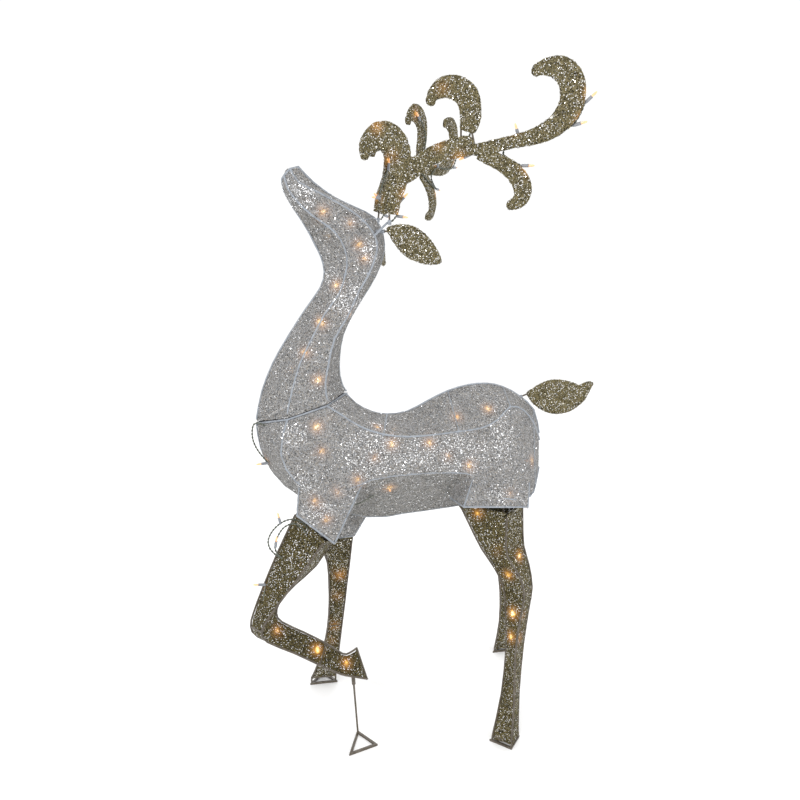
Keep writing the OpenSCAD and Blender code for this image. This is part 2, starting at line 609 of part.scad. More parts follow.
// Rod under the raised hoof, with a triangle that is pinned to the ground
rod_at = [-180, -93, 2.5];
rod_tilt = 3.5;
rod_r = 2.4;
rod_l = 166;
rod_sleeve_z = 132;
rod_sleeve_l = 40;
rod_foot = [[-180, -93, 0], [-204, -161, 0], [-143, -142, 0]];
module at_rod() { translate(rod_at) rotate([0, -rod_tilt, 0]) children(); }
module left_front_rod_sleeve() placed() color(brown_wire) at_rod() translate([0, 0, rod_sleeve_z])
    sleeve(rod_sleeve_l, rod_r + peg_clear, 4.5);
module support_rod() placed() color(brown_wire) {
    at_rod() cylinder(r = rod_r, h = rod_l, $fn = 48);
    foot_triangle(rod_foot);
}

// ---- Lights ----

lead_r = lead_d / 2;
seat_l = 4;
// The spots are [x, y, z, heading, climb]: where a holder leaves the lead, and where it points
module aimed(s) { translate([s[0], s[1], s[2]]) rotate([0, 90 - s[4], s[3]]) children(); }
module holder() {
    r = holder_d / 2;
    b = bulb_d / 2;
    rotate_extrude($fn = 24) polygon([[0, 0], [r - 1, 0], [r, 3], [r, holder_l], [b, holder_l],
        [b, holder_l - seat_l], [0, holder_l - seat_l]]);
}
module bulb() {
    r = bulb_d / 2;
    translate([0, 0, holder_l - seat_l]) rotate_extrude($fn = 24)
        polygon([[0, 0], [r, 0], [r, seat_l + bulb_l - 5], [r * 0.6, seat_l + bulb_l - 1.5],
            [0, seat_l + bulb_l]]);
}
module holders(spots) { for (s = spots) aimed(s) holder(); }
module bulbs(spots) { for (s = spots) aimed(s) bulb(); }
function place_of(s) = [s[0], s[1], s[2]];
module lead(points, steps = 2) { wire(smooth_line(points, steps), lead_r, 6); }

body_spots = [[-258, -46, 760, -90, 0], [-249, -46, 706, -90, 0], [-172, -52, 640, -90, 0],
    [-220, -48, 613, -90, 0], [-266, -50, 590, -90, 0], [-244, -70, 556, -90, 0],
    [-97, -56, 606, -90, 0], [-133, -54, 688, -90, 0], [-94, -54, 717, -90, 0],
    [-123, -40, 745, -90, 12], [-9, -54, 716, -90, 0], [34, -58, 684, -90, 0],
    [84, -58, 660, -90, 0], [63, -38, 764, -90, 12], [138, -30, 776, -90, 12],
    [176, -64, 588, -90, 0], [230, -30, 650, -60, 0], [170, 50, 650, 90, 0],
    [90, 40, 745, 90, 10], [20, 56, 660, 90, 0], [-60, 52, 705, 90, 0], [-140, 52, 640, 90, 0],
    [-220, 46, 740, 90, 0], [-260, 46, 650, 90, 0], [-200, 60, 540, 90, 0]];
chest_spot = [-368, -20, 668, 180, -5];
body_lead_points = concat([[-300, -20, 765], [-280, -36, 764]], [for (s = body_spots) place_of(s)]);
module body_lead() placed() color(lead_colour) lead(body_lead_points);
module body_bulb_holders() placed() color(holder_colour) holders(concat(body_spots, [chest_spot]));
module body_bulbs() placed() color(bulb_colour) bulbs(concat(body_spots, [chest_spot]));

// The lead comes out at the seam and back in lower on the chest
chest_points = [[-364, -20, 752], [-378, -20, 759], [-390, -20, 762.5], [-398, -20, 757],
    [-401, -20, 742], [-400, -20, 724], [-393, -20, 704], [-382, -20, 686], [-368, -20, 668]];
module chest_lead() placed() color(lead_colour) lead(chest_points, 2);

neck_spots = [[-252, -22, 862, -90, 0], [-276, -16, 920, -90, 0], [-240, -12, 985, -90, 0],
    [-180, -10, 1004, -90, 0], [-206, -10, 1066, -90, 0], [-146, -12, 1124, -90, 0],
    [-158, -12, 1152, -90, 0], [-176, -12, 1196, -90, 0], [-232, -4, 1217, -90, 0],
    [-262, 2, 1240, 90, 0], [-210, 8, 1180, 90, 0], [-170, 10, 1100, 90, 0],
    [-210, 10, 1010, 90, 0], [-262, 14, 940, 90, 0], [-300, 18, 870, 90, 0]];
neck_lead_points = concat([[-262, -10, 812], [-254, -18, 832]], [for (s = neck_spots) place_of(s)]);
module neck_lead() placed() color(lead_colour) lead(neck_lead_points);
module neck_bulb_holders() placed() color(holder_colour) holders(neck_spots);
module neck_bulbs() placed() color(bulb_colour) bulbs(neck_spots);

// On the inner face of an antler, as [x, z, angle in the plane]
antler_spots = [[29, 2, -8], [36, 30, 40], [-2, 38, 167], [26, 99, 85], [16, 190, 197], [108, 131, 18],
    [196, 116, 200], [292, 140, 107], [297, 88, -3], [393, 153, 10], [414, 190, 40], [160, 230, 150]];
antler_route = [[16, -10], [29, 2], [36, 30], [-2, 38], [26, 99], [34, 140], [16, 190], [44, 150],
    [70, 104], [108, 131], [150, 118], [196, 116], [250, 100], [297, 88], [262, 112], [292, 140],
    [340, 143], [393, 153], [414, 190]];
antler_branch = [[108, 131], [176, 134], [192, 152], [200, 186], [186, 214], [160, 230]];
lead_y = leaf_t / 2 + lead_r + 0.5;
holder_y = leaf_t / 2 + holder_d / 2 + 0.5;
antler_holder_spots = [for (s = antler_spots) [s[0], holder_y, s[1], 0, s[2]]];
module antler_lead() {
    lead([for (p = antler_route) [p[0], lead_y, p[1]]]);
    lead([for (p = antler_branch) [p[0], lead_y + lead_d, p[1]]]);
}
module left_antler_lead() placed() color(lead_colour) at_left_antler() antler_lead();
module left_antler_bulb_holders() placed() color(holder_colour) at_left_antler() holders(antler_holder_spots);
module left_antler_bulbs() placed() color(bulb_colour) at_left_antler() bulbs(antler_holder_spots);
module right_antler_lead() placed() color(lead_colour) at_right_antler() antler_lead();
module right_antler_bulb_holders() placed() color(holder_colour)
    at_right_antler() holders(antler_holder_spots);
module right_antler_bulbs() placed() color(bulb_colour) at_right_antler() bulbs(antler_holder_spots);

// A leg's string inside its net: a lead from its top through every holder
module leg_string(spots, start) {
    color(lead_colour) lead(concat([start], [for (s = spots) place_of(s)]), 2);
    color(holder_colour) holders(spots);
    color(bulb_colour) bulbs(spots);
}
hind_spots = [[112, -80, 516, 0, 90], [165, -98, 432, 0, 90], [206, -106, 412, 0, 90],
    [186, -112, 376, 0, 90], [196, -130, 280, 0, 90], [190, -142, 226, 0, 90]];
front_spots = [[-204, -92, 312, 0, 90], [-210, -102, 250, 0, 90], [-218, -112, 160, 0, 90],
    [-226, -120, 112, 0, 90]];
raised_spots = [[-290, -80, 462, 180, -50], [-336, -82, 404, 180, -50], [-384, -72, 396, 180, 4],
    [-384, -86, 296, 0, -28], [-296, -86, 236, 0, -28], [-226, -86, 190, 0, -28]];
module left_hind_lights() placed() leg_string(hind_spots, [150, -82, 545]);
module right_hind_lights() placed() mirrored(true)
    leg_string([for (s = hind_spots) concat(strode(place_of(s), hind_stride), [s[3], s[4]])],
        [150, -82, 545]);
module right_front_lights() placed() mirrored(true) leg_string(front_spots, [-206, -84, 420]);
module left_front_lights() placed() leg_string(raised_spots, [-272, -78, 500]);

// Two turns of spare lead in front of the raised leg's rim, with a bulb on each
loop_outer = [[-284, -84, 528], [-294, -84, 542], [-305, -84, 550], [-324, -82, 553],
    [-344, -82, 546], [-362, -82, 530], [-373, -82, 509], [-371, -84, 490], [-358, -88, 474],
    [-345, -88, 466]];
loop_inner = [[-290, -90, 522], [-300, -90, 536], [-317, -90, 546], [-338, -90, 538],
    [-352, -90, 518], [-359, -92, 496], [-354, -94, 478], [-343, -94, 466]];
loop_spots = [[-345, -82, 543, 160, 78], [-358, -92, 492, 0, 82]];
module leg_loop_lead() placed() {
    color(lead_colour) {
        lead(loop_outer, 2);
        lead(loop_inner, 2);
    }
    color(holder_colour) holders(loop_spots);
    color(bulb_colour) bulbs(loop_spots);
}

body_frame();
body_cover();
neck_sleeves();
leg_sleeves();
tail_sleeve();
body_lead();
body_bulb_holders();
body_bulbs();
chest_lead();
neck_frame();
neck_cover();
neck_pegs();
neck_catch();
antler_sleeves();
ear_sleeves();
neck_lead();
neck_bulb_holders();
neck_bulbs();
left_antler_frame();
left_antler_cover();
left_antler_lead();
left_antler_bulb_holders();
left_antler_bulbs();
right_antler_frame();
right_antler_cover();
right_antler_lead();
right_antler_bulb_holders();
right_antler_bulbs();
left_ear_frame();
left_ear_cover();
left_ear_pin();
right_ear_frame();
right_ear_cover();
right_ear_pin();
tail_frame();
tail_cover();
tail_pin();
left_hind_frame();
left_hind_cover();
left_hind_pegs();
left_hind_foot_ring();
left_hind_lights();
right_hind_frame();
right_hind_cover();
right_hind_pegs();
right_hind_foot_ring();
right_hind_lights();
left_front_frame();
left_front_cover();
left_front_pegs();
left_front_rod_sleeve();
left_front_lights();
leg_loop_lead();
right_front_frame();
right_front_cover();
right_front_pegs();
right_front_foot_ring();
right_front_lights();
support_rod();
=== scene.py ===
"""Light up yard reindeer: nets, threads, glitter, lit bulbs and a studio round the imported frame."""
import json
import math

import bmesh
import bpy
import numpy as np
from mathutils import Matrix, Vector
from mathutils.bvhtree import BVHTree


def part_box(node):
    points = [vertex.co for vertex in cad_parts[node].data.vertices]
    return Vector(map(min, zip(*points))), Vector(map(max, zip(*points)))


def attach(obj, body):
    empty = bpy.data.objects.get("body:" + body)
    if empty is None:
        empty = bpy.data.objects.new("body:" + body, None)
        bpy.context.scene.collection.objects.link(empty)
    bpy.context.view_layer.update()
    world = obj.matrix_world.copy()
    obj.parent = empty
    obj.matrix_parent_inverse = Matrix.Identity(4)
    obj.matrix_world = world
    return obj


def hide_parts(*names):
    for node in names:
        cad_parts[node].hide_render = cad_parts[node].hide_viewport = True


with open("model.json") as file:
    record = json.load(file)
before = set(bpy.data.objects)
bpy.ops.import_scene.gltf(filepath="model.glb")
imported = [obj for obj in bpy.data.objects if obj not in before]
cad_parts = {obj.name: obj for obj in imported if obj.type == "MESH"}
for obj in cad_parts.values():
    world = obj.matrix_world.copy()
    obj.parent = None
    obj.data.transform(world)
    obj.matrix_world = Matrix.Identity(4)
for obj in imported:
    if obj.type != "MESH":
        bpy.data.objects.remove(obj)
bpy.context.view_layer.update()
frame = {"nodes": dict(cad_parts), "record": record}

nodes = frame["nodes"]
mm = 0.001
# The animal's own middle plane, which the tail's pin lies in
mid_y = sum(corner.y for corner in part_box("tail_pin")) / 2


# ---- Camera ----

def make_camera():
    """The photo's camera: 10 degrees round from the side view and 11 degrees down."""
    yaw = math.radians(-10)
    pitch = math.atan(0.2)
    back = Vector((math.sin(yaw) * math.cos(pitch), -math.cos(yaw) * math.cos(pitch), math.sin(pitch)))
    data = bpy.data.cameras.new("camera")
    data.sensor_width = 36
    data.lens = 29.25
    camera = bpy.data.objects.new("camera", data)
    camera.location = (-0.320, mid_y - 1.474, 1.099)
    camera.rotation_euler = back.to_track_quat("Z", "Y").to_euler()
    bpy.context.scene.collection.objects.link(camera)
    bpy.context.scene.camera = camera


# ---- Materials ----

class Shader:
    """A Principled material with short calls for the nodes that feed it."""

    def __init__(self, name, colour=(0.8, 0.8, 0.8), roughness=0.5, metallic=0.0):
        self.material = bpy.data.materials.new(name)
        self.material.use_nodes = True
        self.tree = self.material.node_tree
        self.bsdf = self.tree.nodes["Principled BSDF"]
        self.set("Base Color", (*colour, 1))
        self.set("Roughness", roughness)
        self.set("Metallic", metallic)
        self.place = self.node("ShaderNodeTexCoord").outputs["Object"]

    def node(self, kind, **settings):
        made = self.tree.nodes.new(kind)
        for key, value in settings.items():
            setattr(made, key, value)
        return made

    def link(self, output, target):
        self.tree.links.new(output, target)

    def set(self, name, value):
        target = self.bsdf.inputs[name]
        if isinstance(value, bpy.types.NodeSocket):
            self.link(value, target)
        else:
            target.default_value = value

    def noise(self, size, detail=2.0, stretch=None):
        """Cloudy noise with spots of about this size, in metres."""
        made = self.node("ShaderNodeTexNoise")
        made.inputs["Scale"].default_value = 1 / size
        made.inputs["Detail"].default_value = detail
        place = self.place
        if stretch:
            mapping = self.node("ShaderNodeMapping")
            mapping.inputs["Scale"].default_value = stretch
            self.link(place, mapping.inputs["Vector"])
            place = mapping.outputs["Vector"]
        self.link(place, made.inputs["Vector"])
        return made.outputs["Fac"]

    def cells(self, size):
        """One random value for each cell of about this size."""
        made = self.node("ShaderNodeTexVoronoi")
        made.inputs["Scale"].default_value = 1 / size
        self.link(self.place, made.inputs["Vector"])
        split = self.node("ShaderNodeSeparateColor")
        self.link(made.outputs["Color"], split.inputs["Color"])
        return split.outputs["Red"]

    def ramp(self, value, *stops):
        """Colours or greys by value: each stop is (position, colour)."""
        made = self.node("ShaderNodeValToRGB")
        line = made.color_ramp.elements
        while len(line) < len(stops):
            line.new(0.5)
        for element, (position, colour) in zip(line, stops):
            element.position = position
            element.color = (*colour, 1) if isinstance(colour, tuple) else (colour, colour, colour, 1)
        self.link(value, made.inputs["Fac"])
        return made.outputs["Color"]

    def mix(self, factor, first, second):
        made = self.node("ShaderNodeMix", data_type="RGBA")
        for name, value in (("Factor", factor), ("A", first), ("B", second)):
            target = [s for s in made.inputs if s.name == name and s.enabled][0]
            if isinstance(value, bpy.types.NodeSocket):
                self.link(value, target)
            else:
                target.default_value = (*value, 1) if isinstance(value, tuple) else value
        return [s for s in made.outputs if s.enabled][0]

    def tint(self, first, second):
        """One colour multiplied by the other."""
        made = self.node("ShaderNodeMix", data_type="RGBA", blend_type="MULTIPLY")
        sockets = [s for s in made.inputs if s.enabled]
        sockets[0].default_value = 1.0
        self.link(first, sockets[1])
        self.link(second, sockets[2])
        return [s for s in made.outputs if s.enabled][0]

    def math(self, operation, first, second=0.0, clamp=False):
        made = self.node("ShaderNodeMath", operation=operation, use_clamp=clamp)
        for target, value in zip(made.inputs, (first, second)):
            if isinstance(value, bpy.types.NodeSocket):
                self.link(value, target)
            else:
                target.default_value = value
        return made.outputs["Value"]

    def attribute(self, name):
        return self.node("ShaderNodeAttribute", attribute_name=name).outputs["Fac"]

    def bump(self, height, depth, strength=0.6):
        made = self.node("ShaderNodeBump")
        made.inputs["Distance"].default_value = depth
        made.inputs["Strength"].default_value = strength
        self.link(height, made.inputs["Height"])
        self.set("Normal", made.outputs["Normal"])


def net_material(name, tones, flecks, glint_threshold, holes, under, power, gloss):
    """Fine net seen from afar: grain, dark flecks between threads, painted glints, holes, painted shade
    where it faces down, and the bulbs' glow.
    """
    shader = Shader(name, roughness=0.62)
    grain = shader.math("ADD", shader.math("MULTIPLY", shader.noise(2.6 * mm, 3), 0.7),
                        shader.math("MULTIPLY", shader.noise(1.5 * mm, 1, (1, 1, 0.3)), 0.3))
    colour = shader.ramp(grain, *tones)
    cool = shader.mix(shader.cells(2.4 * mm), (0.92, 0.97, 1.06), (1.08, 1.0, 0.9))
    colour = shader.tint(colour, cool)
    # Painted shade: where the net faces down, its colour moves towards the darker under colour and gains
    # more dark flecks
    underside_shade = shader.attribute("under")
    underside_shade_mix = shader.math("MULTIPLY", underside_shade, 0.8, clamp=True)
    colour = shader.mix(underside_shade_mix, colour, shader.mix(grain, under, colour))
    underside_shade_flecks = shader.math("MULTIPLY", underside_shade, 0.07)
    dark = shader.ramp(shader.math("ADD", shader.cells(1.9 * mm), underside_shade_flecks), *flecks)
    colour = shader.mix(dark, colour, tones[0][1])
    # Painted glints: small near-white spots painted into the colour, more of them where glitter lies thick
    patch = shader.math("MULTIPLY", shader.attribute("glitter"), 0.035)
    glint_spots = shader.math("ADD", shader.cells(1.5 * mm), patch)
    bright = shader.ramp(glint_spots, (glint_threshold, 0.0), (glint_threshold + 0.01, 1.0))
    colour = shader.mix(bright, colour, (0.93, 0.93, 0.95))
    shader.set("Base Color", colour)
    shader.set("Alpha", shader.ramp(shader.noise(1.3 * mm, 1), (holes, 0.0), (holes + 0.05, 1.0)))
    shader.set("Specular IOR Level", gloss)
    glow = shader.attribute("glow")
    warm = ((0.0, (1.0, 0.36, 0.05)), (0.45, (1.0, 0.55, 0.12)), (0.8, (1.0, 0.85, 0.48)))
    shader.set("Emission Color", shader.ramp(glow, *warm))
    shader.set("Emission Strength", shader.math("MULTIPLY", glow, shader.math("MULTIPLY", grain, power)))
    shader.bump(grain, 0.8 * mm)
    return shader.material


def thread_material(name, dark, light, metallic):
    """Fine thread whose tone changes along it."""
    shader = Shader(name, roughness=0.38, metallic=metallic)
    tone = shader.cells(9 * mm)
    shader.set("Base Color", shader.ramp(tone, (0.0, dark), (1.0, light)))
    shader.set("Roughness", shader.ramp(shader.noise(2 * mm, 1), (0.3, 0.28), (0.7, 0.5)))
    return shader.material


def glitter_material(name, dark, light):
    """Shiny flakes of several tones."""
    shader = Shader(name, roughness=0.16, metallic=0.9)
    shader.set("Base Color", shader.ramp(shader.cells(4 * mm), (0.0, dark), (0.4, light), (1.0, (1, 1, 1))))
    return shader.material


def wire_material(name, colour, worn):
    """Painted wire with thin and worn spots."""
    shader = Shader(name, roughness=0.42)
    patches = shader.noise(9 * mm, 4)
    shader.set("Base Color", shader.ramp(patches, (0.35, worn), (0.5, colour), (0.8, colour)))
    shader.set("Roughness", shader.ramp(shader.noise(3 * mm), (0.3, 0.32), (0.7, 0.55)))
    shader.bump(shader.noise(1.2 * mm, 3), 0.2 * mm, 0.5)
    return shader.material


def lead_material():
    """Soft insulation with a dusty, uneven shine."""
    shader = Shader("lead_insulation", roughness=0.4)
    tone = shader.noise(4 * mm, 2)
    shader.set("Base Color", shader.ramp(tone, (0.3, (0.045, 0.055, 0.04)), (0.7, (0.15, 0.16, 0.125))))
    shader.set("Coat Weight", 0.3)
    shader.bump(shader.noise(1.5 * mm, 1), 0.4 * mm)
    return shader.material


def holder_material():
    """Grey plastic with uneven shine."""
    shader = Shader("holder_plastic", roughness=0.3)
    tone = shader.noise(5 * mm)
    shader.set("Base Color", shader.ramp(tone, (0.3, (0.17, 0.18, 0.2)), (0.7, (0.28, 0.29, 0.31))))
    shader.set("Roughness", shader.ramp(shader.noise(2 * mm), (0.3, 0.22), (0.7, 0.42)))
    return shader.material


def bulb_material():
    """Lit mini bulb whose warm glow changes in tone at random."""
    shader = Shader("lit_bulb", colour=(0.62, 0.42, 0.26), roughness=0.12)
    heat = shader.noise(5 * mm, 1)
    shader.set("Emission Color", shader.ramp(heat, (0.3, (1.0, 0.26, 0.05)), (0.6, (1.0, 0.46, 0.15))))
    shader.set("Emission Strength", 0.6)
    return shader.material


def make_materials():
    return {
        # For each net: grain tones, dark flecks, where the painted glints start, holes, the colour of the
        # painted shade underneath, glow power and gloss
        "white_net": net_material("white_net_sheet",
            ((0.3, (0.045, 0.045, 0.043)), (0.48, (0.212, 0.21, 0.206)), (0.72, (0.41, 0.403, 0.392))),
            ((0.86, 0.0), (0.9, 1.0)), 0.985, 0.36, (0.17, 0.165, 0.14), 3.0, 0.4),
        "gold_net": net_material("gold_net_sheet",
            ((0.3, (0.01, 0.008, 0.002)), (0.5, (0.088, 0.073, 0.028)), (0.72, (0.21, 0.178, 0.085))),
            ((0.7, 0.0), (0.76, 1.0)), 0.95, 0.33, (0.055, 0.042, 0.014), 5.0, 0.15),
        "leaf_net": net_material("gold_leaf_sheet",
            ((0.3, (0.018, 0.015, 0.005)), (0.5, (0.13, 0.111, 0.055)), (0.72, (0.28, 0.244, 0.14))),
            ((0.76, 0.0), (0.82, 1.0)), 0.94, 0.3, (0.12, 0.1, 0.05), 5.0, 0.15),
        "white_thread": thread_material("white_thread", (0.2, 0.2, 0.2), (0.52, 0.52, 0.52), 0.1),
        "gold_thread": thread_material("gold_thread", (0.03, 0.023, 0.006), (0.32, 0.27, 0.13), 0.5),
        "white_glitter": glitter_material("white_glitter", (0.75, 0.75, 0.78), (1.0, 1.0, 1.0)),
        "gold_glitter": glitter_material("gold_glitter", (0.3, 0.24, 0.12), (0.9, 0.86, 0.74)),
        "white_wire": wire_material("pale_wire", (0.265, 0.29, 0.325), (0.2, 0.215, 0.24)),
        "brown_wire": wire_material("bronze_wire", (0.075, 0.06, 0.042), (0.13, 0.11, 0.085)),
        "lead": lead_material(),
        "bulb_holder": holder_material(),
        "bulb": bulb_material(),
    }


# ---- Light strings ----

# Lengths of a holder and of the bulb that stands out of it
HOLDER = 16 * mm
BULB = 12 * mm
# Holders on the legs' strings, as [x, y from the middle plane, z, heading, climb], in mm and degrees
LEG_SPOTS = {
    "left_hind": ((112, -80, 516, 0, 90), (165, -98, 432, 0, 90), (206, -106, 412, 0, 90),
                  (186, -112, 376, 0, 90), (196, -130, 280, 0, 90), (190, -142, 226, 0, 90)),
    "right_hind": ((120, 80, 516, 0, 90), (192, 98, 432, 0, 90), (237, 106, 412, 0, 90),
                   (226, 112, 376, 0, 90), (257, 130, 280, 0, 90), (263, 142, 226, 0, 90)),
    "right_front": ((-204, 92, 312, 0, 90), (-210, 102, 250, 0, 90), (-218, 112, 160, 0, 90),
                    (-226, 120, 112, 0, 90)),
    "left_front": ((-290, -80, 462, 180, -50), (-336, -82, 404, 180, -50), (-384, -72, 396, 180, 4),
                   (-384, -86, 296, 0, -28), (-296, -86, 236, 0, -28), (-226, -86, 190, 0, -28)),
}
# The same for the holders on the spare turns of lead at the raised leg, and the turns' own routes
LOOP_SPOTS = ((-345, -82, 543, 160, 78), (-358, -92, 492, 0, 82))
LOOP_ROUTES = (
    ((-284, -84, 528), (-294, -84, 542), (-305, -84, 550), (-324, -82, 553), (-344, -82, 546),
     (-362, -82, 530), (-373, -82, 509), (-371, -84, 490), (-358, -88, 474), (-345, -88, 466)),
    ((-290, -90, 522), (-300, -90, 536), (-317, -90, 546), (-338, -90, 538), (-352, -90, 518),
     (-359, -92, 496), (-354, -94, 478), (-343, -94, 466)))


def placed(x, y, z):
    """A place in the frame from millimetres measured off the middle plane."""
    return Vector((x * mm, y * mm + mid_y, z * mm))


def aim(spot):
    """The way a holder points."""
    heading, climb = math.radians(spot[3]), math.radians(spot[4])
    flat = math.cos(climb)
    return Vector((math.cos(heading) * flat, math.sin(heading) * flat, math.sin(climb)))


def bulb_middles(spots):
    """Where the bulbs glow, for holders at these spots."""
    return [placed(*spot[:3]) + aim(spot) * (HOLDER + BULB / 2) for spot in spots]


# ---- Pieces ----

def add_piece(name, mesh, body, material):
    piece = bpy.data.objects.new(name, mesh)
    bpy.context.scene.collection.objects.link(piece)
    mesh.materials.append(material)
    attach(piece, body)
    return piece


def body_of_node(node):
    return [b for b, members in frame["record"]["behaviour"]["bodies"].items() if node in members][0]


def cad_bmesh(node):
    """A CAD node's triangles, with the corners that they share joined."""
    made = bmesh.new()
    made.from_mesh(nodes[node].data)
    bmesh.ops.remove_doubles(made, verts=made.verts, dist=0.02 * mm)
    bmesh.ops.triangulate(made, faces=made.faces)
    made.faces.ensure_lookup_table()
    return made


SKY_RAYS = 24
GOLDEN_ANGLE = math.pi * (3 - math.sqrt(5))


def sky_share(tree, point, normal):
    """How much of the half-sphere over a point is open, from 0 to 1."""
    side = normal.orthogonal().normalized()
    other = normal.cross(side)
    open_rays = 0
    for k in range(SKY_RAYS):
        rise = (k + 0.5) / SKY_RAYS
        turn = k * GOLDEN_ANGLE
        flat = math.sqrt(1 - rise * rise)
        ray = normal * rise + side * (flat * math.cos(turn)) + other * (flat * math.sin(turn))
        if tree.ray_cast(point + normal * 0.3 * mm, ray)[0] is None:
            open_rays += 1
    return open_rays / SKY_RAYS


def outer_skin(node, wall):
    """The outside of a hollow cover: of each pair of faces a wall apart, the one with more sky."""
    mesh = cad_bmesh(node)
    tree = BVHTree.FromBMesh(mesh)
    sky = [sky_share(tree, f.calc_center_median(), f.normal) for f in mesh.faces]
    doomed = []
    for face in mesh.faces:
        centre = face.calc_center_median()
        behind = tree.ray_cast(centre - face.normal * 0.2 * mm, -face.normal, wall)[2]
        if behind is None or sky[face.index] < sky[behind]:
            doomed.append(face)
    bmesh.ops.delete(mesh, geom=doomed, context="FACES")
    return mesh


LONGEST_EDGE = 9 * mm


def refine(mesh, smoothing):
    """Splits long edges, then relaxes the surface with its rims held."""
    for _ in range(8):
        long_edges = [e for e in mesh.edges if e.calc_length() > LONGEST_EDGE]
        if not long_edges:
            break
        bmesh.ops.subdivide_edges(mesh, edges=long_edges, cuts=1)
        bmesh.ops.triangulate(mesh, faces=[f for f in mesh.faces if len(f.verts) > 3])
    inner = [v for v in mesh.verts if not v.is_boundary]
    every_way = {"use_axis_x": True, "use_axis_y": True, "use_axis_z": True}
    for _ in range(smoothing):
        bmesh.ops.smooth_vert(mesh, verts=inner, factor=0.5, **every_way)


def sink(mesh, depth):
    """Moves the skin inward, so that the frame's wires stand proud of it."""
    mesh.normal_update()
    for vert in mesh.verts:
        vert.co -= vert.normal * depth


class Skin:
    """A surface that threads and flakes are laid on."""

    def __init__(self, mesh, seed):
        bmesh.ops.triangulate(mesh, faces=mesh.faces)
        mesh.normal_update()
        mesh.faces.ensure_lookup_table()
        self.tree = BVHTree.FromBMesh(mesh)
        self.random = np.random.default_rng(seed)
        self.corners = np.array([[v.co for v in f.verts] for f in mesh.faces])
        self.normals = np.array([f.normal for f in mesh.faces])
        self.areas = np.array([f.calc_area() for f in mesh.faces])

    def area(self):
        return self.areas.sum()

    def scatter(self, count, weight=None):
        """Random points on the surface with their normals, thicker where weight is larger."""
        share = self.areas.copy()
        if weight is not None:
            share *= np.array([weight(c) for c in self.corners.mean(1)])
        picked = self.random.choice(len(share), count, p=share / share.sum())
        a, b = self.random.random((2, count, 1))
        over = a + b > 1
        a, b = np.where(over, 1 - a, a), np.where(over, 1 - b, b)
        c = self.corners[picked]
        return c[:, 0] + a * (c[:, 1] - c[:, 0]) + b * (c[:, 2] - c[:, 0]), self.normals[picked]

    def walk(self, start, heading, step, steps, lift):
        """Points of a thread that keeps to the surface."""
        path = []
        here = Vector(start)
        ahead = Vector(heading)
        for k in range(steps + 1):
            found, normal = self.tree.find_nearest(here)[:2]
            path.append(found + normal * lift)
            ahead -= normal * ahead.dot(normal)
            if ahead.length < 1e-6:
                break
            ahead.normalize()
            here = found + ahead * step
        return path


def random_heading(skin, normal):
    """Any direction along the surface."""
    turn = skin.random.uniform(0, math.tau)
    side = Vector(normal).orthogonal().normalized()
    return side * math.cos(turn) + Vector(normal).cross(side) * math.sin(turn)


def strand_mesh(name, paths, radius):
    """Three-sided threads along the paths, with pointed ends."""
    points, faces = [], []
    for path in paths:
        count = len(path)
        if count < 3 or (path[-1] - path[0]).length < radius * 6:
            continue
        base = len(points)
        points.append(path[0])
        for k in range(1, count - 1):
            ahead = (path[k + 1] - path[k - 1]).normalized()
            side = ahead.orthogonal().normalized()
            other = ahead.cross(side)
            for turn in (0.0, math.tau / 3, math.tau * 2 / 3):
                aside = side * (radius * math.cos(turn))
                points.append(path[k] + aside + other * (radius * math.sin(turn)))
        points.append(path[-1])
        last = len(points) - 1
        for j in range(3):
            n = (j + 1) % 3
            faces.append((base, base + 1 + n, base + 1 + j))
            faces.append((last - 3 + j, last - 3 + n, last))
            for k in range(count - 3):
                ring = base + 1 + 3 * k
                faces.append((ring + j, ring + n, ring + 3 + n, ring + 3 + j))
    mesh = bpy.data.meshes.new(name)
    mesh.from_pydata(points, [], faces)
    return mesh


THREAD_LIFT = 1.2 * mm


def threads(name, skin, body, material, density, strand):
    """Short threads all over a skin: density is metres of thread for each square metre."""
    length, radius, steps = strand
    count = int(skin.area() * density / length)
    spots, normals = skin.scatter(count)
    paths = []
    for spot, normal in zip(spots, normals):
        reach = length * skin.random.uniform(0.6, 1.4)
        lift = THREAD_LIFT * skin.random.uniform(0.3, 1.0)
        paths.append(skin.walk(spot, random_heading(skin, normal), reach / steps, steps, lift))
    add_piece(name, strand_mesh(name, paths, radius), body, material)


FLAKE_LIFT = 1.6 * mm
HALF_FLAKE = 0.06 * mm


def flakes(name, skin, body, material, count, size):
    """Flat strips of glitter stuck on at all tilts."""
    spots, normals = skin.scatter(count, flake_share)
    random = skin.random
    points, faces = [], []
    for spot, normal in zip(spots, normals):
        normal = Vector(normal)
        ahead = random_heading(skin, normal)
        tilt = Vector(random.normal(0, 0.3, 3))
        up = (normal + tilt).normalized()
        ahead = (ahead - up * ahead.dot(up)).normalized()
        side = up.cross(ahead)
        centre = Vector(spot) + normal * FLAKE_LIFT
        a = ahead * (size * random.uniform(0.5, 1.3))
        b = side * (size * random.uniform(0.4, 0.75))
        thick = up * HALF_FLAKE
        base = len(points)
        for t in (thick, -thick):
            points.extend((centre - a - b + t, centre + a - b + t, centre + a + b + t, centre - a + b + t))
        faces.extend(((base, base + 1, base + 2, base + 3), (base + 7, base + 6, base + 5, base + 4)))
        for k in range(4):
            n = (k + 1) % 4
            faces.append((base + 4 + k, base + 4 + n, base + n, base + k))
    mesh = bpy.data.meshes.new(name)
    mesh.from_pydata(points, [], faces)
    add_piece(name, mesh, body, material)


def islands(node):
    """Middle of each separate solid in a CAD node."""
    mesh = cad_bmesh(node)
    mesh.verts.ensure_lookup_table()
    seen, middles = set(), []
    for vert in mesh.verts:
        if vert.index in seen:
            continue
        seen.add(vert.index)
        stack, members = [vert], []
        while stack:
            here = stack.pop()
            members.append(here.co)
            for edge in here.link_edges:
                other = edge.other_vert(here)
                if other.index not in seen:
                    seen.add(other.index)
                    stack.append(other)
        middles.append(sum(members, Vector()) / len(members))
    mesh.free()
    return middles


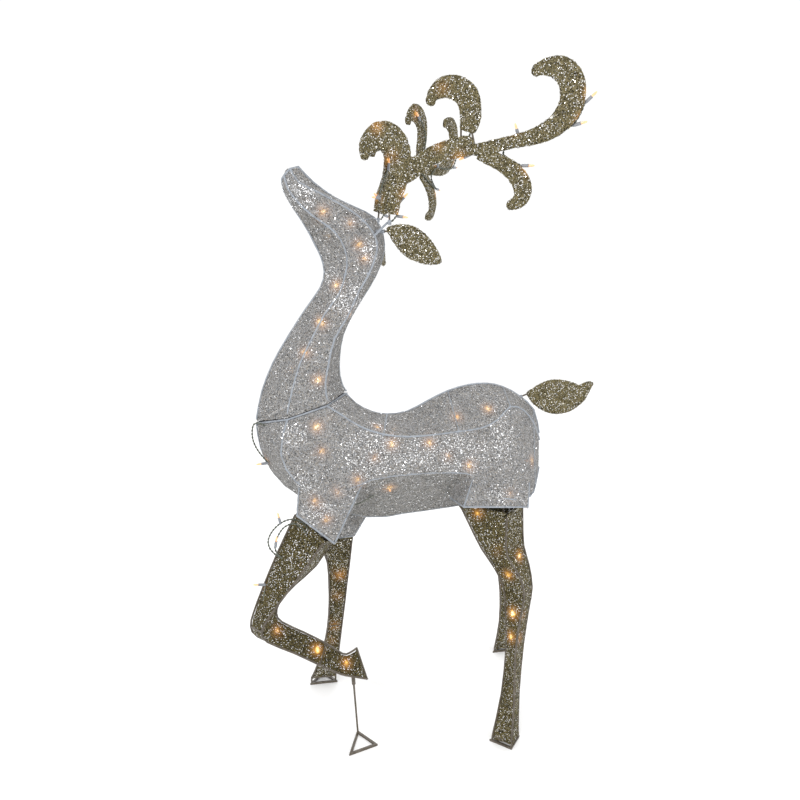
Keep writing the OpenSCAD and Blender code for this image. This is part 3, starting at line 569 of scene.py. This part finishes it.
# Glitter lies thick in these places: [x, z, half width, half height] in mm, seen from the side
PATCHES = ((-137, 702, 66, 52), (49, 690, 84, 44), (-44, 694, 50, 34), (164, 726, 28, 62),
           (148, 592, 26, 24), (-282, 640, 26, 22), (-310, 744, 30, 24), (-277, 1252, 30, 30),
           (-135, 1138, 16, 26), (-187, 1040, 32, 34), (-216, 1086, 18, 20), (-262, 575, 30, 22),
           (-220, 806, 26, 12), (-372, 470, 26, 60), (-300, 440, 40, 60))


def thick_glitter(spot):
    """How thick the glitter lies at a spot: 0 in the open, up to 1 in a patch."""
    most = 0.0
    for x, z, wide, high in PATCHES:
        away = math.hypot((spot[0] / mm - x) / wide, (spot[2] / mm - z) / high)
        most = max(most, min(1.0, max(0.0, (1.25 - away) / 0.5)))
    return most


def flake_share(spot):
    """How many flakes a spot gets, next to one in the open."""
    return 1 + 8 * thick_glitter(spot)


def store(mesh, name, values):
    stored = mesh.attributes.new(name, "FLOAT", "POINT")
    stored.data.foreach_set("value", np.asarray(values, dtype=np.float32))


# A bulb lights the net in front of it: a bright core in a wide halo, fainter the deeper it sits
DEEPEST_BULB = 50 * mm
FADING_DEPTH = 30 * mm
CORE = 3.8 * mm
HALO = 13 * mm


def paint(mesh, bulbs, powers):
    """Stores on each vertex the bulbs' glow, how thick glitter lies, and how far it faces down, which sets
    the painted shade underneath.
    """
    co = np.empty(len(mesh.vertices) * 3)
    mesh.vertices.foreach_get("co", co)
    co = co.reshape(-1, 3)
    lit = np.zeros(len(co))
    for number, bulb in enumerate(bulbs):
        away = np.linalg.norm(co - np.array(bulb), axis=1)
        nearest = away.min()
        power = powers[number % len(powers)]
        if nearest > DEEPEST_BULB:
            continue
        spread = np.sqrt(np.maximum(away ** 2 - nearest ** 2, 0))
        shape = 0.8 * np.exp(-(spread / CORE) ** 2) + 0.25 * np.exp(-(spread / HALO) ** 2)
        lit = np.maximum(lit, power / (1 + (nearest / FADING_DEPTH) ** 2) * shape)
    store(mesh, "glow", lit)
    store(mesh, "glitter", [thick_glitter(c) for c in co])
    # How far each vertex faces down, for the net's painted shade underneath
    store(mesh, "under", [min(1.0, max(0.0, -v.normal.z * 1.6 - 0.1)) for v in mesh.vertices])


def rim_of(mesh, spot):
    """Edges of the open rim that passes nearest to a spot."""
    rims = [e for e in mesh.edges if e.is_boundary]
    start = min(rims, key=lambda e: ((e.verts[0].co + e.verts[1].co) / 2 - spot).length)
    found, stack = {start}, [start]
    while stack:
        for vert in stack.pop().verts:
            for edge in vert.link_edges:
                if edge.is_boundary and edge not in found:
                    found.add(edge)
                    stack.append(edge)
    return [e for e in mesh.edges if e in found]


def close_rim(mesh, spot):
    """Fills a net's open rim, facing away from the net's middle."""
    middle = sum((v.co for v in mesh.verts), Vector()) / len(mesh.verts)
    made = bmesh.ops.triangle_fill(mesh, use_beauty=True, edges=rim_of(mesh, spot))
    for face in [g for g in made["geom"] if isinstance(g, bmesh.types.BMFace)]:
        face.normal_update()
        if face.normal.dot(face.calc_center_median() - middle) < 0:
            face.normal_flip()


def add_skirt(mesh, spot, ahead):
    """Carries a net's open rim on along a direction, over the joint's gap."""
    rim = rim_of(mesh, spot)
    moved = {}
    for vert in [v for edge in rim for v in edge.verts]:
        if vert not in moved:
            moved[vert] = mesh.verts.new(vert.co + ahead)
    for edge in rim:
        first, second = edge.verts
        mesh.faces.new((first, second, moved[second], moved[first]))
    bmesh.ops.recalc_face_normals(mesh, faces=mesh.faces)


def net(node, look, flake_count, seed, bulbs=(), powers=(1.0, 0.6, 0.85, 0.4), skirts=(), closed=()):
    """A cover's net: its sheet, the threads on it and the glitter."""
    body = body_of_node(node)
    mesh = outer_skin(node, look["wall"])
    for spot in closed:
        close_rim(mesh, spot)
    refine(mesh, look["smoothing"])
    sink(mesh, look["depth"])
    for skirt in skirts:
        add_skirt(mesh, *skirt)
    skin = Skin(mesh, seed)
    sheet_mesh = bpy.data.meshes.new(node)
    mesh.to_mesh(sheet_mesh)
    mesh.free()
    sheet_mesh.polygons.foreach_set("use_smooth", [True] * len(sheet_mesh.polygons))
    paint(sheet_mesh, bulbs, powers)
    base = node.replace("_cover", "")
    piece = add_piece(base + "_net", sheet_mesh, body, look["sheet"])
    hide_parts(node)
    threads(base + "_threads", skin, body, look["thread"], look["density"], look["strand"])
    flakes(base + "_glitter", skin, body, look["glitter"], flake_count, look["flake"])


# ---- Leads and bulbs ----

# Just over the width of a lead in CAD, and the twisted pair that is drawn in its place
LEAD_WIDTH = 3.1 * mm
STRAND_RADIUS = 1.1 * mm
TWIST_PITCH = 16 * mm
TWIST_STEP = 1.6 * mm


def smooth_path(points, steps):
    """Catmull-Rom curve through the points."""
    path = []
    for k in range(len(points) - 1):
        a, b, c, d = (points[min(max(k + j, 0), len(points) - 1)] for j in (-1, 0, 1, 2))
        for j in range(steps):
            t = j / steps
            path.append(0.5 * (2 * b + (c - a) * t + (2 * a - 5 * b + 4 * c - d) * t ** 2
                               + (3 * b - a - 3 * c + d) * t ** 3))
    path.append(points[-1])
    return path


def even_path(path, step):
    """The same line with its points a step apart."""
    even, left = [path[0]], step
    for a, b in zip(path, path[1:]):
        long = (b - a).length
        at = left
        while at <= long:
            even.append(a.lerp(b, at / long))
            at += step
        left = at - long
    return even


def twist_strands(path, radius, pitch):
    """Two strands wound round a line, as lists of rings of points."""
    strands = ([], [])
    side = (path[1] - path[0]).orthogonal().normalized()
    gone = 0.0
    for k, here in enumerate(path):
        ahead = (path[min(k + 1, len(path) - 1)] - path[max(k - 1, 0)]).normalized()
        side = (side - ahead * side.dot(ahead)).normalized()
        other = ahead.cross(side)
        turn = gone / pitch * math.tau
        for number, strand in enumerate(strands):
            angle = turn + number * math.pi
            out = side * math.cos(angle) + other * math.sin(angle)
            middle = here + out * radius
            strand.append([middle + (out * math.cos(w) + ahead.cross(out) * math.sin(w)) * radius
                           for w in (j * math.tau / 6 for j in range(6))])
        if k + 1 < len(path):
            gone += (path[k + 1] - here).length
    return strands


def rings_mesh(name, tubes):
    """Closed tubes through their rings of points."""
    points, faces = [], []
    for rings in tubes:
        sides, base = len(rings[0]), len(points)
        for ring in rings:
            points.extend(ring)
        for k in range(len(rings) - 1):
            for j in range(sides):
                n = (j + 1) % sides
                a = base + k * sides
                faces.append((a + j, a + n, a + sides + n, a + sides + j))
        last = base + (len(rings) - 1) * sides
        faces.append(tuple(base + j for j in reversed(range(sides))))
        faces.append(tuple(last + j for j in range(sides)))
    mesh = bpy.data.meshes.new(name)
    mesh.from_pydata(points, [], faces)
    mesh.polygons.foreach_set("use_smooth", [len(p.vertices) == 4 for p in mesh.polygons])
    return mesh


def turned(spot, profile, sides=16):
    """Rings of a turned shape: the profile is (distance along the axis, radius) in mm."""
    axis = aim(spot)
    side = axis.orthogonal().normalized()
    other = axis.cross(side)
    start = placed(*spot[:3])
    return [[start + axis * (along * mm) + (side * math.cos(w) + other * math.sin(w)) * (radius * mm)
             for w in (j * math.tau / sides for j in range(sides))] for along, radius in profile]


def neighbours(verts, known):
    """The vertices next to these that aren't known yet, each once, in the order they are met."""
    found = []
    for vert in verts:
        for edge in vert.link_edges:
            other = edge.other_vert(vert)
            if other not in known and other not in found:
                found.append(other)
    return found


def lead_lines(node):
    """Middle lines of the six-sided leads in a CAD node, one for each separate lead."""
    mesh = cad_bmesh(node)
    left = list(mesh.verts)
    lines = []
    while left:
        far = left[0]
        for _ in range(2):
            seen, edge = {far}, [far]
            while edge:
                far = edge[0]
                edge = neighbours(edge, seen)
                seen.update(edge)
        ring = [v for v in left if v in seen and (v.co - far.co).length < LEAD_WIDTH]
        done, line = set(ring), []
        while ring:
            line.append(sum((v.co for v in ring), Vector()) / len(ring))
            ring = neighbours(ring, done)
            done.update(ring)
        left = [v for v in left if v not in seen]
        lines.append(line)
    mesh.free()
    return lines


def twist_lead(node, material, lines):
    """Draws a lead as the twisted pair it is, along its middle lines."""
    strands = []
    for line in lines:
        strands.extend(twist_strands(even_path(line, TWIST_STEP), STRAND_RADIUS, TWIST_PITCH))
    piece = add_piece(node + "_pair", rings_mesh(node, strands), body_of_node(node), material)
    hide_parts(node)


def loop_lights(materials):
    """The spare turns of lead at the raised leg, with a ribbed holder and a lit bulb on each."""
    node = "leg_loop_lead"
    routes = [[placed(*point) for point in route] for route in LOOP_ROUTES]
    twist_lead(node, materials["lead"], [smooth_path(route, 6) for route in routes])
    body = body_of_node(node)
    barrel = [(0, 1.6), (1.5, 2.3), (3, 3.1), (6, 3.1), (6.6, 2.8), (8, 2.8), (8.6, 3.1), (11, 3.1),
              (11.6, 2.8), (13, 2.8), (13.6, 3.2), (16, 3.2), (16, 2.4)]
    glass = [(14, 2.1), (20, 2.3), (24, 2.2), (26, 1.6), (27.4, 0.8), (28, 0.2)]
    for name, profile, slot in (("holders", barrel, "bulb_holder"), ("bulbs", glass, "bulb")):
        mesh = rings_mesh("leg_loop_" + name, [turned(spot, profile) for spot in LOOP_SPOTS])
        add_piece("leg_loop_" + name, mesh, body, materials[slot])


def dress_lights(node, spots, materials):
    """Gives a leg string's CAD node its three materials, by where each face lies."""
    slack = 1 * mm
    widest = 3.6 * mm
    seam = HOLDER + 0.2 * mm
    mesh = nodes[node].data
    mesh.materials.clear()
    for slot in ("lead", "bulb_holder", "bulb"):
        mesh.materials.append(materials[slot])
    for face in mesh.polygons:
        face.material_index = 0
        for spot in spots:
            away = face.center - placed(*spot[:3])
            along = away.dot(aim(spot))
            aside = (away - aim(spot) * along).length
            if -slack < along < HOLDER + BULB + slack and aside < widest:
                face.material_index = 2 if along > seam else 1


def finish_cad_nodes(materials):
    """Gives the wires, holders, bulbs and leads that stay as CAD made them their materials."""
    slots = {s["node"]: s["material_slot"] for s in frame["record"]["subparts"]}
    for node, cad in nodes.items():
        slot = slots[node]
        if slot == "leg_lights":
            dress_lights(node, LEG_SPOTS[node.replace("_lights", "")], materials)
        elif slot in ("white_wire", "brown_wire", "lead", "bulb_holder", "bulb"):
            cad.data.materials.clear()
            cad.data.materials.append(materials[slot])


# ---- Studio ----

def make_studio():
    """A plain pale floor under a white sky, with three soft lamps."""
    scene = bpy.context.scene
    scene.view_settings.view_transform = "Standard"
    world = bpy.data.worlds.new("studio")
    world.use_nodes = True
    sky = world.node_tree.nodes["Background"]
    sky.inputs["Color"].default_value = (1, 1, 1, 1)
    sky.inputs["Strength"].default_value = 1.06
    scene.world = world
    floor_mesh = bpy.data.meshes.new("floor")
    half = 8.0
    corners = [(-half, -half, 0), (half, -half, 0), (half, half, 0), (-half, half, 0)]
    floor_mesh.from_pydata(corners, [], [(0, 1, 2, 3)])
    floor = bpy.data.objects.new("floor", floor_mesh)
    scene.collection.objects.link(floor)
    pale = Shader("pale_floor", (0.97, 0.97, 0.97), 0.9)
    floor_mesh.materials.append(pale.material)
    for name, place, size, power in (
            ("key", (-1.6, -2.4, 2.6), 0.7, 40),
            ("fill", (2.0, -2.0, 1.6), 1.5, 20),
            ("back", (0.6, 3.0, 2.4), 1.5, 25)):
        lamp = bpy.data.lights.new(name, "AREA")
        lamp.size = size
        lamp.energy = power
        lit = bpy.data.objects.new(name, lamp)
        lit.location = place
        lit.rotation_euler = (Vector(place) - Vector((0, mid_y, 0.75))).to_track_quat("Z", "Y").to_euler()
        scene.collection.objects.link(lit)


# ---- The whole figure ----

make_camera()
materials = make_materials()

# How each kind of net is made: thickness of its CAD shell, how deep it lies behind the wires, metres of
# thread for each square metre, each thread's length, radius and steps, and the size of a flake
white = {
    "slot": "white_net", "sheet": materials["white_net"], "thread": materials["white_thread"],
    "glitter": materials["white_glitter"], "wall": 3 * mm, "depth": 2.6 * mm, "smoothing": 4,
    "density": 260, "strand": (20 * mm, 0.3 * mm, 3), "flake": 1.25 * mm}
gold = {
    "slot": "gold_net", "sheet": materials["gold_net"], "thread": materials["gold_thread"],
    "glitter": materials["gold_glitter"], "wall": 3 * mm, "depth": 3.5 * mm, "smoothing": 4,
    "density": 500, "strand": (9 * mm, 0.25 * mm, 2), "flake": 1 * mm}
leaf = gold | {
    "sheet": materials["leaf_net"], "wall": 2.5 * mm, "depth": 0.5 * mm, "smoothing": 1, "density": 550}

# Where each rim is that a net carries on from, and how far it reaches over the joint's gap
neck_skirt = (placed(-300, -60, 800), Vector((0, 0, -7.8 * mm)))
up = Vector((0, 0, 7.5 * mm))
down = Vector((0, 0, -6 * mm))
leg_skirts = {
    "left_hind": ((placed(150, -60, 546), up), (placed(170, -150, 8), down)),
    "right_hind": ((placed(150, 60, 546), up), (placed(290, 150, 8), down)),
    "right_front": ((placed(-206, 60, 500), up),),
    "left_front": ((placed(-272, -60, 519), Vector((4.8 * mm, 0, 5.7 * mm))),),
}
# How brightly each bulb of a leg's string shows through the net
leg_powers = {
    "left_hind": (0.5, 0.7, 0.8, 0.6, 1.0, 0.8),
    "right_hind": (0.6,),
    "right_front": (1.0, 0.9, 1.0, 0.7),
    "left_front": (0.0, 0.0, 0.2, 0.4, 0.9, 0.7),
}
# The rump's end, the slits where the leg stubs meet the torso, and the one beside the neck's seam
body_ends = [placed(286, 0, 660), placed(-129, 85, 621), placed(-137, 92, 627), placed(-217, 44, 810),
             placed(92, 44, 565)]

net("body_cover", white, 5200, 11, islands("body_bulbs"), closed=body_ends)
net("neck_cover", white, 2400, 12, islands("neck_bulbs"), skirts=(neck_skirt,))
for number, leg in enumerate(("left_hind", "right_hind", "left_front", "right_front")):
    glows = bulb_middles(LEG_SPOTS[leg])
    net(leg + "_cover", gold, 1500, 20 + number, glows, leg_powers[leg], skirts=leg_skirts[leg])
for number, antler in enumerate(("left_antler", "right_antler")):
    net(antler + "_cover", leaf, 1500, 30 + number, islands(antler + "_bulbs"))
for number, part in enumerate(("left_ear", "right_ear", "tail")):
    net(part + "_cover", leaf, 350, 32 + number)
for lead in ("chest_lead", "left_antler_lead", "right_antler_lead"):
    twist_lead(lead, materials["lead"], [smooth_path(line, 3) for line in lead_lines(lead)])
loop_lights(materials)

finish_cad_nodes(materials)
make_studio()
